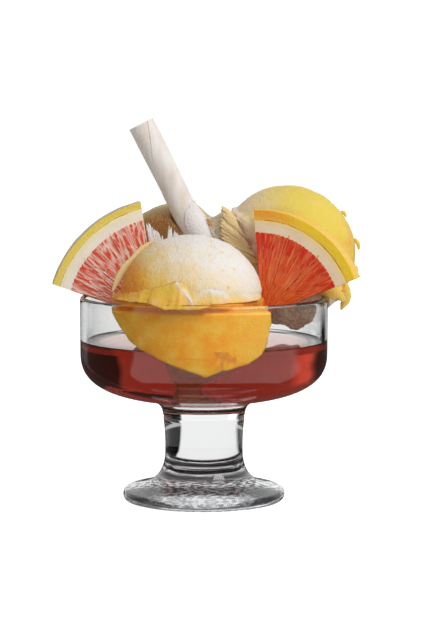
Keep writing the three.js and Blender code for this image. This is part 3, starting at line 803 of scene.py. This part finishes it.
def left_scoop():
    """A ball leaning back: smooth cap, torn collar, rough belly, with a socket for the wafer."""
    own, way = scoop_rays(LEFT)
    x, y, z = np.moveaxis(way, -1, 0)
    plain = ball(LEFT, own)
    place = way * plain[..., None]
    height = own[..., 2] * plain
    tear = rough(polar(8, np.arctan2(own[..., 1], own[..., 0]), 0), 71)
    belly = 1 - ease(height, -3, 0)
    reach = plain + bell(height, 0.8 * tear, 1.7) * (1.3 + 1.1 * tear)
    reach += (1 - belly) * (0.3 * rough(place / 12, 81) + 0.12 * rough(place / 1.6, 82))
    reach += belly * (0.8 * rough(place / 6, 83) + 0.3 * rough(place / 1.4, 84) - 0.6)
    behind_wedge = ((-0.52, -0.854), 18.2)
    for out, distance in (between(LEFT, FRONT), between(LEFT, RIGHT), behind_wedge):
        reach = soft_min(reach, plane_reach(way, out, distance), 1.0)
    reach = soft_min(reach, glass_reach(LEFT, way), 0.6)
    reach -= 2.6 * ease(x, 0.2, 0.5) * ease(z, 0.3, 0.6)
    reach = np.minimum(reach, socket_reach(LEFT, way))
    point = LEFT["middle"] + way * reach[..., None]
    # Painted light and shade: pale to the right of the wafer, the deep colour on the face below and under the
    # collar away from it.
    lit_side = ease(point[..., 0], 1, 6)
    frost_and_light = 0.25 * ease(z + 0.1 * rough(place / 6, 86), 0.5, 1.0) + 0.5 * lit_side
    painted_side_shade = ease(-y - 0.7 * z, -0.6, 0.1) * (1 - 0.9 * lit_side)
    painted_hollow_shade = 0.5 * bell(height, -3.2, 1.2) * (1 - lit_side)
    return with_marks(point, frost_and_light, 0, painted_hollow_shade, painted_side_shade)


def wafer_smear():
    """Soft ice cream wiped up the wafer's right side, thickest at the bottom.

    Each row is a closed section along the wafer: up over a thickness that thins out, back along the roll.
    """
    rows = 70
    turn = np.radians(np.linspace(-110, 62, rows))[:, None]
    loop = np.linspace(0, 2, 48, endpoint=False)
    up = np.where(loop < 1, loop, 2 - loop)
    ends = np.clip(np.sin(np.pi * np.linspace(0, 1, rows)), 0.01, 1)[:, None]
    wave = rough(polar(2, turn, 0), 94)
    length = 5 + (14 + 7 * ends + 0.8 * wave) * up
    outside = np.where(loop < 1, np.sin(np.pi * np.clip(loop, 0, 1)) ** 0.4, 0)
    thick = 0.02 * outside + ends * outside * 5.0 * (1 - up) ** 1.5
    place = on_wafer(WAFER_RADIUS + 0.08 + thick, turn, length)
    place = place + 0.2 * (outside * (1 - up) * rough(place / 3, 95))[..., None] * WAFER_SIDE
    return with_marks(place, 1, 0, 0, 0)


def left_strands():
    """White tufts torn up in front of the left ball, and folds of its edge to the right of the wafer."""
    white, cream, pale, orange = (1, 0, 0, 0), (0.6, 0.15, 0, 0), (0.8, 0.1, 0, 0), (0.2, 0.9, 0, 0)
    viewer = np.array([0, -1, 0.2])
    strands = [
        *fan([(-20, 9.6, 101), (-22.6, 9.2, 109), (-24.2, 10, 117.4)],
             [(-16, 9.6, 101), (-17.4, 9.2, 107), (-18.4, 9.8, 111.4)],
             11, viewer, 0.9, 0.5, white, 0.2, 33),
        *fan([(-15.4, 9.4, 101), (-15.4, 9, 108), (-15.2, 9.8, 115.6)],
             [(-11, 9.6, 101), (-11.2, 9.2, 107), (-10.8, 9.8, 112)], 9, viewer, 0.9, 0.5, white, 0.2, 48),
        *fan([(0.6, 12.4, 118.6), (5, 11, 118.4), (12, 9.4, 125)],
             [(3.4, 9.6, 109), (6.4, 8.8, 108.4), (12, 8.4, 113.6)], 9, viewer, 0.9, 0.6, cream, 0.45, 81),
        *fan([(1.2, 13, 121.4), (4, 12, 118), (8.8, 11, 113.6)],
             [(2.8, 9.8, 114), (4.8, 9, 110), (9.1, 8.6, 105)], 8, viewer, 0.6, 0.5, pale, 0.4, 61),
        *fan([(1.6, 11.6, 119.4), (4.6, 10.8, 115.6), (9, 10, 111)],
             [(3, 10, 113), (5.6, 9.2, 109), (9.1, 8.8, 104)], 6, viewer, 0.8, 0.5, orange, 0.4, 71),
    ]
    for strand in strands:
        strand[..., 0] = np.minimum(strand[..., 0], 9.7)
        strand[..., 1] = np.maximum(strand[..., 1], 8.2)
    return strands


# The last colour serves as painted shade, and in mottles where pressed.
left = skin("left_scoop_ball", "left_scoop", ice_cream(
    "ice_cream_left", ink(240, 234, 230), ink(206, 180, 92), ink(232, 146, 60), ink(172, 118, 70),
), left_scoop(), wafer_smear(), *left_strands(), marks=SCOOP_MARKS, sharp=60)
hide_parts("left_scoop")


# The wafer: one thin baked sheet rolled up hot into a tight spiral, so its outer edge runs slantwise.
# It stands in its socket in the left scoop and is dry, off-white and faintly browned.
WAFER_LENGTH = 65.0
WAFER_TURNS = 2.25
WAFER_SHEET = 0.7
WAFER_PITCH = 1.0
WAFER_TWIST = np.radians(250)


def squared(wave, power):
    """A wave raised to a power with its sign kept: the smaller the power, the squarer it is."""
    return np.sign(wave) * np.abs(wave) ** power


def wafer_roll():
    """A sheet's thin section carried inwards along a spiral; its edge turns further the higher it is."""
    t = np.linspace(0, 1, 130)[:, None]
    loop = np.linspace(0, 2 * np.pi, 200, endpoint=False)
    length = WAFER_LENGTH * (0.5 + 0.5 * squared(np.sin(loop), 0.9))
    edge = 0.25 + 0.75 * ease(t, 0, 0.12)
    thick = WAFER_SHEET * (1 - edge * (0.5 + 0.5 * squared(np.cos(loop), 0.12)))
    turn = 2 * np.pi * WAFER_TURNS * t + WAFER_TWIST * length / WAFER_LENGTH + np.radians(60)
    radius = WAFER_RADIUS - thick - WAFER_PITCH * WAFER_TURNS * t - 0.25 * (1 - ease(t, 0, 0.1))
    flat = polar(radius, turn, length)
    radius = radius + 0.05 * rough(flat / 7, 91) + 0.03 * rough(flat / 1.5, 92)
    return on_wafer(radius, turn, length)


def baked_sheet():
    """Dry baked sheet: off-white, faintly browned in streaks and blisters."""
    material, shade = finish("baked_wafer")
    spot = shade.node("TexCoord", out="Object")
    along = {"Vector": spot, "Rotation": (0, WAFER_LEAN, 0), "Scale": (1, 1, 0.35)}
    streaks = shade.node("Mapping", None, along).noise(220.0, 4.0)
    grains = spot.noise(1500.0, 2.0)
    colour = streaks.over(0.42, 0.78).blend(ink(232, 226, 220), ink(216, 200, 184))
    normal = (grains + streaks).bump(0.3, 0.0004)
    return coated(material, shade, {"Base Color": colour, "Roughness": 0.8, "Normal": normal})


wafer = skin("wafer_cigar", "wafer", baked_sheet(), wafer_roll(), sharp=50)
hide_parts("wafer_roll")


# The citrus wedges: each is cut from a slice of pink grapefruit by two knife cuts that meet at a corner.
# Each has yellow zest, white pith with the membranes, and three juicy segments, and hangs on the rim.
SLICE = 8.5
MEMBRANE = 0.6
SEGMENTS = 3
BAND_MARKS = ("inwards", "along")
PULP_MARKS = ("swell", "tint", "toward_rind", "streaks")
WEDGES = {
    "left": {
        "centre": (-15.24, 9.23, 75.67), "turn": np.radians(-8), "radius": 51.8,
        "corner": np.array([-3.55, -0.85]), "top": 103.2, "tip": 162.5, "zest": 3.0, "pith": 4.6,
    },
    "right": {
        "centre": (23.13, -6.43, 78.13), "turn": np.radians(18), "radius": 45.3,
        "corner": np.array([1.2, 0.2]), "top": 92.9, "tip": 22.6, "zest": 4.4, "pith": 4.8,
    },
}


def level_way(angle):
    """Unit directions in a slice's plane at these angles."""
    return spots(np.cos(angle), np.sin(angle))


def cut_way(wedge, degrees):
    """Angle of the knife cut from the wedge's corner to that point of the slice's edge."""
    x, y = wedge["radius"] * level_way(np.radians(degrees)) - wedge["corner"]
    return np.arctan2(y, x)


def upright(wedge, across, up, deep):
    """From the slice's own plane to the serving: across the face, up, and back from the face."""
    along, back = np.cos(wedge["turn"]), np.sin(wedge["turn"])
    x, y, z = wedge["centre"]
    return spots(x + across * along + deep * back, y - across * back + deep * along, z + up)


def section(half_high, half_deep, count, power=14):
    """A rectangle with rounded corners: the loop of a high-power superellipse."""
    loop = np.linspace(0, 2 * np.pi, count, endpoint=False)
    return half_high * squared(np.cos(loop), 2 / power), half_deep * squared(np.sin(loop), 2 / power)


def rind_band(wedge, outer, inner, seed, grain):
    """A rounded section carried along the slice's edge from the top cut to the tip cut.

    Its marks are how far inwards a point lies and how far along the edge.
    """
    high, deep = section((outer - inner) / 2, SLICE / 2, 72)
    radius = (outer + inner) / 2 + high
    corner = wedge["corner"]
    ends = []
    for degrees in (wedge["top"], wedge["tip"]):
        angle = cut_way(wedge, degrees)
        run = meet(corner, angle, radius)
        ends.append(np.arctan2(corner[1] + run * np.sin(angle), corner[0] + run * np.cos(angle)))
    s = np.linspace(0, 1, 150)[:, None]
    angle = ends[0] + (ends[1] - ends[0]) * s
    spot = spots(angle * outer, radius, deep)
    near, _ = speckle(spot / 1.5, seed)
    pores = 0.5 * ease(0.4 - near, 0, 0.3) * (high > 0.8 * np.max(high))
    proud = radius + grain * (0.5 * rough(spot / 6, seed + 1) - pores)
    place = upright(wedge, proud * np.cos(angle), proud * np.sin(angle), SLICE / 2 + deep)
    return with_marks(place, (outer - radius) / (outer - inner), s)


def membrane(wedge, angle, length, seed):
    """A thin wall from the wedge's corner out to the pith, a little wavy, thinner in its middle."""
    wide, deep = section(MEMBRANE / 2, SLICE / 2 + 0.2, 40, power=5)
    run = np.linspace(0.2, length, 60)[:, None]
    wave = 0.35 * np.sin(run / 5 + seed) * np.sin(np.pi * run / length)
    wide = wide * (0.75 + 0.7 * (run / length - 0.4) ** 2) + wave
    x = wedge["corner"][0] + run * np.cos(angle) - wide * np.sin(angle)
    y = wedge["corner"][1] + run * np.sin(angle) + wide * np.cos(angle)
    return with_marks(upright(wedge, x, y, SLICE / 2 + deep), 2, 0.5)


def pulp(wedge, start, end, inset_start, inset_end, radius, seed):
    """A segment: its pie outline filled from a middle point, front and back.

    Long juice cells swell its face, and the outer edge is scalloped by their ends.
    """
    face, edge, back = 84, 7, 14
    spread = np.sin(abs(end - start))
    corner = wedge["corner"] + inset_start / spread * level_way(end) + inset_end / spread * level_way(start)
    turn = np.linspace(start, end, 240)
    cell = turn * radius / 2.0
    scallop = np.sqrt(1 - (2 * (cell - np.floor(cell)) - 1) ** 2)
    reach = meet(corner, turn, radius) - 0.6 * (1 - scallop)
    path = np.concatenate([corner[None], corner + reach[:, None] * level_way(turn), corner[None]])
    run = np.concatenate([[0], np.cumsum(np.linalg.norm(np.diff(path, axis=0), axis=-1))])
    even = np.linspace(0, run[-1], 330, endpoint=False)
    outline = np.stack([np.interp(even, run, path[:, axis]) for axis in range(2)], axis=-1)
    middle = outline.mean(axis=0)
    out = np.concatenate([np.linspace(0.02, 1, face), np.ones(edge), np.linspace(1, 0.02, back)])[:, None]
    behind = np.concatenate([np.zeros(face), np.linspace(0, 1, edge + 2)[1:-1], np.ones(back)])[:, None]
    flat = middle + (outline - middle) * out[..., None]
    plan = flat[..., [0, 1, 1]]
    length = np.linalg.norm(flat - corner, axis=-1)
    around = np.arctan2(flat[..., 1] - corner[1], flat[..., 0] - corner[0]) * radius
    bent_along = length / 4.2 + 0.5 * drift(plan / 4, seed + 3)
    bent_around = around / 1.3 + 0.5 * drift(plan / 7, seed)
    near, tint = speckle(spots(bent_along, bent_around, 0), seed + 7)
    swell = ease(0.72 - near, 0, 0.5)
    streaks = 0.5 + 0.5 * rough(spots(length / 9, around / 0.9, 0), seed + 9)
    rim = ease(1 - out, 0, 0.05)
    deep = np.where(behind == 0, 0.15 - 0.2 * rim - 0.35 * swell * rim, 0)
    deep = deep + behind * (SLICE - 0.3) + np.where(behind == 1, 0.3 - 0.5 * rim, 0)
    place = upright(wedge, flat[..., 0], flat[..., 1], deep)
    return with_marks(place, swell, tint, length / (radius - np.hypot(*corner)), streaks)


def waxy_zest(name, edge, start, body, pale):
    """Waxy peel: a thin edge colour along its outer rim, its own colour near the top cut, paler inwards, with
    fine oil pores.
    """
    material, shade = finish(name)
    inwards, along = shade.marks(*BAND_MARKS)
    spot = shade.node("TexCoord", out="Object")
    patches = spot.noise(120.0, 3.0)
    pores = shade.node("TexVoronoi", None, {"Vector": spot, "Scale": 900.0}, out="Distance")
    colour = (along + 0.4 * (patches - 0.5)).over(0.1, 0.45).blend(start, body)
    colour = (inwards + 0.3 * (patches - 0.5)).over(0.55, 1.1).blend(colour, pale)
    # The edge colour: on the left wedge a dull painted shade where the peel turns away, on the right the
    # peel's own outer face.
    colour = inwards.over(0.0, 0.08).blend(edge, colour)
    normal = pores.bump(0.4, 0.0004)
    return coated(material, shade, {"Base Color": colour, "Roughness": 0.38, "Normal": normal})


def spongy_pith(name, outer, pale, shaded, web):
    """Matte sponge: tinted by the zest outside, white inwards, shaded in patches; webs are tinted."""
    material, shade = finish(name)
    (inwards,) = shade.marks("inwards")
    spot = shade.node("TexCoord", out="Object")
    colour = spot.noise(140.0, 4.0).over(0.4, 0.75).blend(pale, shaded)
    colour = inwards.over(0, 0.45).blend(outer, colour)
    colour = inwards.over(1.5, 1.9).blend(colour, web)
    normal = spot.noise(1200.0, 3.0).bump(0.3, 0.0004)
    return coated(material, shade, {"Base Color": colour, "Roughness": 0.7, "Normal": normal})


def juicy_pulp(name, near_rind, near_corner, wall, paleness):
    """Wet juice cells: each a little lighter or darker, with pale skins and fine pale streaks."""
    material, shade = finish(name)
    swell, tint, toward, streaks = shade.marks(*PULP_MARKS)
    colour = (toward + 0.3 * tint - 0.15).over(0.35, 0.95).blend(near_corner, near_rind)
    colour = ((1 - swell) * (0.4 + 0.8 * tint) * paleness).over(0.3, 1.1).blend(colour, wall)
    colour = (streaks.over(0.5, 1.0) * paleness).blend(colour, wall)
    return coated(material, shade, {
        "Base Color": colour, "Roughness": 0.24, "Subsurface Weight": 0.1,
        "Subsurface Radius": (0.004, 0.0015, 0.001), "Subsurface Scale": 1.0,
    })


def dress_wedge(side, zest, pith, flesh, seed):
    """Zest, pith with membranes, and three segments, on the wedge's body; they overlap by a hair."""
    wedge = WEDGES[side]
    body = side + "_wedge"
    hair = 0.1
    zest_inner = wedge["radius"] - wedge["zest"]
    pith_outer = zest_inner + hair
    pulp_radius = pith_outer - wedge["pith"]
    top, tip = cut_way(wedge, wedge["top"]), cut_way(wedge, wedge["tip"])
    cuts = [top + index * (tip - top) / SEGMENTS for index in range(SEGMENTS + 1)]
    band = rind_band(wedge, wedge["radius"], zest_inner, seed, 0.25)
    peel = skin(body + "_peel", body, zest, band, marks=BAND_MARKS, sharp=60)
    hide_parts(body + "_zest")
    band = rind_band(wedge, pith_outer, pulp_radius - 0.9, seed + 3, 0.35)
    walls = [
        membrane(wedge, angle, meet(wedge["corner"], angle, pulp_radius + 1), seed + angle)
        for angle in cuts[1:-1]
    ]
    white = skin(body + "_white", body, pith, band, *walls, marks=BAND_MARKS, sharp=60)
    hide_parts(body + "_pith")
    for index in range(SEGMENTS):
        insets = (0.05 * (index > 0), 0.05 * (index < SEGMENTS - 1))
        form = pulp(wedge, *cuts[index:index + 2], *insets, pulp_radius + hair, seed + 11 * index)
        name = f"{body}_segment_{index + 1}"
        segment = skin(name + "_pulp", body, flesh, form, marks=PULP_MARKS, sharp=70)
        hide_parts(name)


dress_wedge(
    "left",
    # The first colour is painted shade along the peel's outer rim.
    waxy_zest("zest_left", ink(176, 160, 104), ink(234, 204, 84), ink(238, 212, 92), ink(244, 224, 130)),
    spongy_pith("pith_left", ink(246, 232, 176), ink(248, 240, 222), ink(242, 228, 204), ink(248, 222, 208)),
    juicy_pulp("pulp_left", ink(226, 84, 56), ink(232, 122, 92), ink(248, 218, 202), 0.9),
    101,
)
dress_wedge(
    "right",
    waxy_zest("zest_right", ink(240, 190, 50), ink(244, 164, 48), ink(246, 208, 40), ink(244, 196, 70)),
    spongy_pith("pith_right", ink(242, 210, 130), ink(240, 218, 186), ink(230, 202, 168), ink(236, 126, 70)),
    juicy_pulp("pulp_right", ink(214, 44, 22), ink(232, 98, 36), ink(240, 150, 88), 0.55),
    201,
)


# The studio: a white floor that keeps the soft shadow, white light all round and a lamp at the upper right.
# Two dark upright flags and a bright card, seen only in glass, give its edges their dark and light lines.
WHITE = (1, 1, 1, 1)
FLOOR_RADIUS = 3.0
FLOOR_DROP = 0.00003
FLAGS = ((25.0, 85.0), (-112.0, -44.0))
CAMERA_PLACE = (0.0028, -0.8391, 0.1619)
CAMERA_DIP = 0.0994
LENS = 113.3
SENSOR = 36


def level_angle(spot):
    """The level angle of a place or direction in degrees, from straight behind the serving to the right."""
    x, y, _ = spot.axes()
    return spot.maths("ARCTAN2", x, y) * (180 / np.pi)


def flags(spot):
    """1 in the directions of the dark flags."""
    angle = level_angle(spot)
    return sum(angle.within(low - 3, low, high - 4, high + 6) for low, high in FLAGS)


def studio_world():
    """White for the eye, white with flags and card through glass, a plain soft level for the rest."""
    world = bpy.data.worlds.new("studio")
    bpy.context.scene.world = world
    world.use_nodes = True
    world.node_tree.nodes.clear()
    shade = Shade(world.node_tree)
    spot = shade.node("TexCoord", out="Generated")
    eye, gloss, through = shade.rays("Camera", "Glossy", "Transmission")
    x, y, z = spot.axes()
    card = level_angle(spot).within(-43, -37, -31, -25) * z.within(-0.2, -0.1, 0.15, 0.25)
    in_glass = through * (1 - flags(spot) + 1.4 * card)
    mirrored = gloss * (1 - through) * (0.03 + 0.92 * (y + 0.5 * z).over(0.35, 0.95))
    others = (1 - through) * (1 - gloss) * (1 - eye)
    plain = others * (0.52 + 0.36 * x.over(-0.7, 0.7) - 0.16 * y.over(-1, 0))
    strength = eye
    for level in (in_glass, mirrored, plain):
        strength = shade.maths("MAXIMUM", strength, level)
    light = shade.node("Background", None, {"Color": WHITE, "Strength": strength})
    shade.node("OutputWorld", None, {"Surface": light})


def studio_floor():
    """A wide white disc: it keeps shadows and glows for the eye; in glass it shows the flags and a painted
    shadow round the middle.
    """
    turn = np.linspace(0, 2 * np.pi, 64, endpoint=False)
    mesh = bpy.data.meshes.new("floor")
    mesh.from_pydata(polar(FLOOR_RADIUS, turn, -FLOOR_DROP).tolist(), [], [list(range(len(turn)))])
    floor = into_scene("floor", mesh)
    material, shade = finish("white_floor")
    spot = shade.node("TexCoord", out="Object")
    eye, gloss, through = shade.rays("Camera", "Glossy", "Transmission")
    white = shade.node("BsdfDiffuse", None, {"Color": (0.8, 0.8, 0.8, 1)})
    glow = shade.node("Emission", None, {"Color": WHITE, "Strength": 0.8 * eye})
    paper = shade.node("AddShader", None, {0: white, 1: glow})
    away = shade.node("VectorMath", {"operation": "LENGTH"}, {0: spot}, out="Value")
    # Painted shadow: seen in glass, the floor is black within 54 mm of the middle.
    past_painted_shadow = 0.9 * away.over(0.054, 0.06)
    dark = flags(spot) * (1 - 0.5 * away.over(0.7, 0.9))
    level = through * past_painted_shadow * (1 - dark) + 0.05 * gloss * (1 - through)
    seen = shade.node("Emission", None, {"Color": WHITE, "Strength": level})
    in_glass = shade.maths("MINIMUM", gloss + through, 1) * (1 - eye)
    surface = shade.node("MixShader", None, {0: in_glass, 1: paper, 2: seen})
    shade.node("OutputMaterial", None, {"Surface": surface})
    mesh.materials.append(material)


def lamp(name, place, target, size, power):
    """A round soft lamp at a place, facing a target, not seen through glass; metres and watts."""
    light = bpy.data.lights.new(name, "AREA")
    light.shape = "DISK"
    light.size = size
    light.energy = power
    holder = into_scene(name, light)
    holder.location = place
    holder.visible_transmission = False
    aim = np.array(target) - np.array(place)
    flat = np.hypot(aim[0], aim[1])
    holder.rotation_euler = (np.arctan2(flat, -aim[2]), 0, np.arctan2(-aim[0], aim[1]))


studio_world()
studio_floor()
lamp("key", (0.55, -0.5, 0.75), (0, 0, 0.09), size=0.5, power=4.5)

view = bpy.data.cameras.new("camera")
view.sensor_width = SENSOR
view.lens = LENS
camera = into_scene("camera", view)
camera.location = CAMERA_PLACE
camera.rotation_euler = (np.pi / 2 - CAMERA_DIP, 0, 0)
bpy.context.scene.camera = camera
bpy.context.scene.view_settings.view_transform = "Standard"
